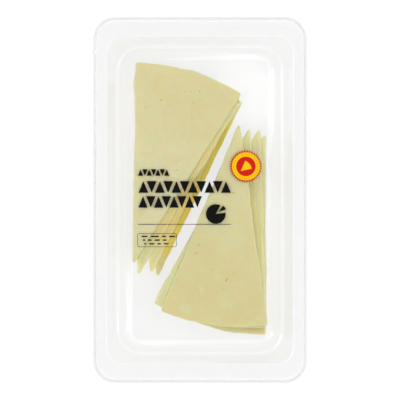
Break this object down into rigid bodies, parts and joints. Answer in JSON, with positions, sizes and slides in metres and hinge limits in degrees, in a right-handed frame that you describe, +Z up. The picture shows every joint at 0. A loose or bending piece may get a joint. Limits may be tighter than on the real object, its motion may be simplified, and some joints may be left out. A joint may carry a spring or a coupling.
{
  "type": "cheese wedge pack",
  "caption": "Clear sealed tray of thin triangular hard-cheese slices, fanned head to tail in flat stacks under a clear lid film with plain dark print and a round seal.",
  "frame": {"origin": "on the table under the middle of the tray", "axes": "+Z up out of the tray through the lid film, +Y along the tray's length towards the top of the print, +X towards the tray's right side as read from above"},
  "size_m": [0.1066, 0.183, 0.0262],
  "materials": {
    "clear_tray": "gloss",
    "clear_film": "gloss",
    "cheese_paste": "satin",
    "dark_ink": "satin",
    "yellow_ink": "satin",
    "red_ink": "satin"
  },
  "bodies": {
    "root": {"tray": "clear_tray", "lid_film": "clear_film", "left_slice_1": "cheese_paste", "left_slice_2": "cheese_paste", "left_slice_3": "cheese_paste", "left_slice_4": "cheese_paste", "right_slice_1": "cheese_paste", "right_slice_2": "cheese_paste", "right_slice_3": "cheese_paste", "right_slice_4": "cheese_paste"}
  },
  "joints": []
}
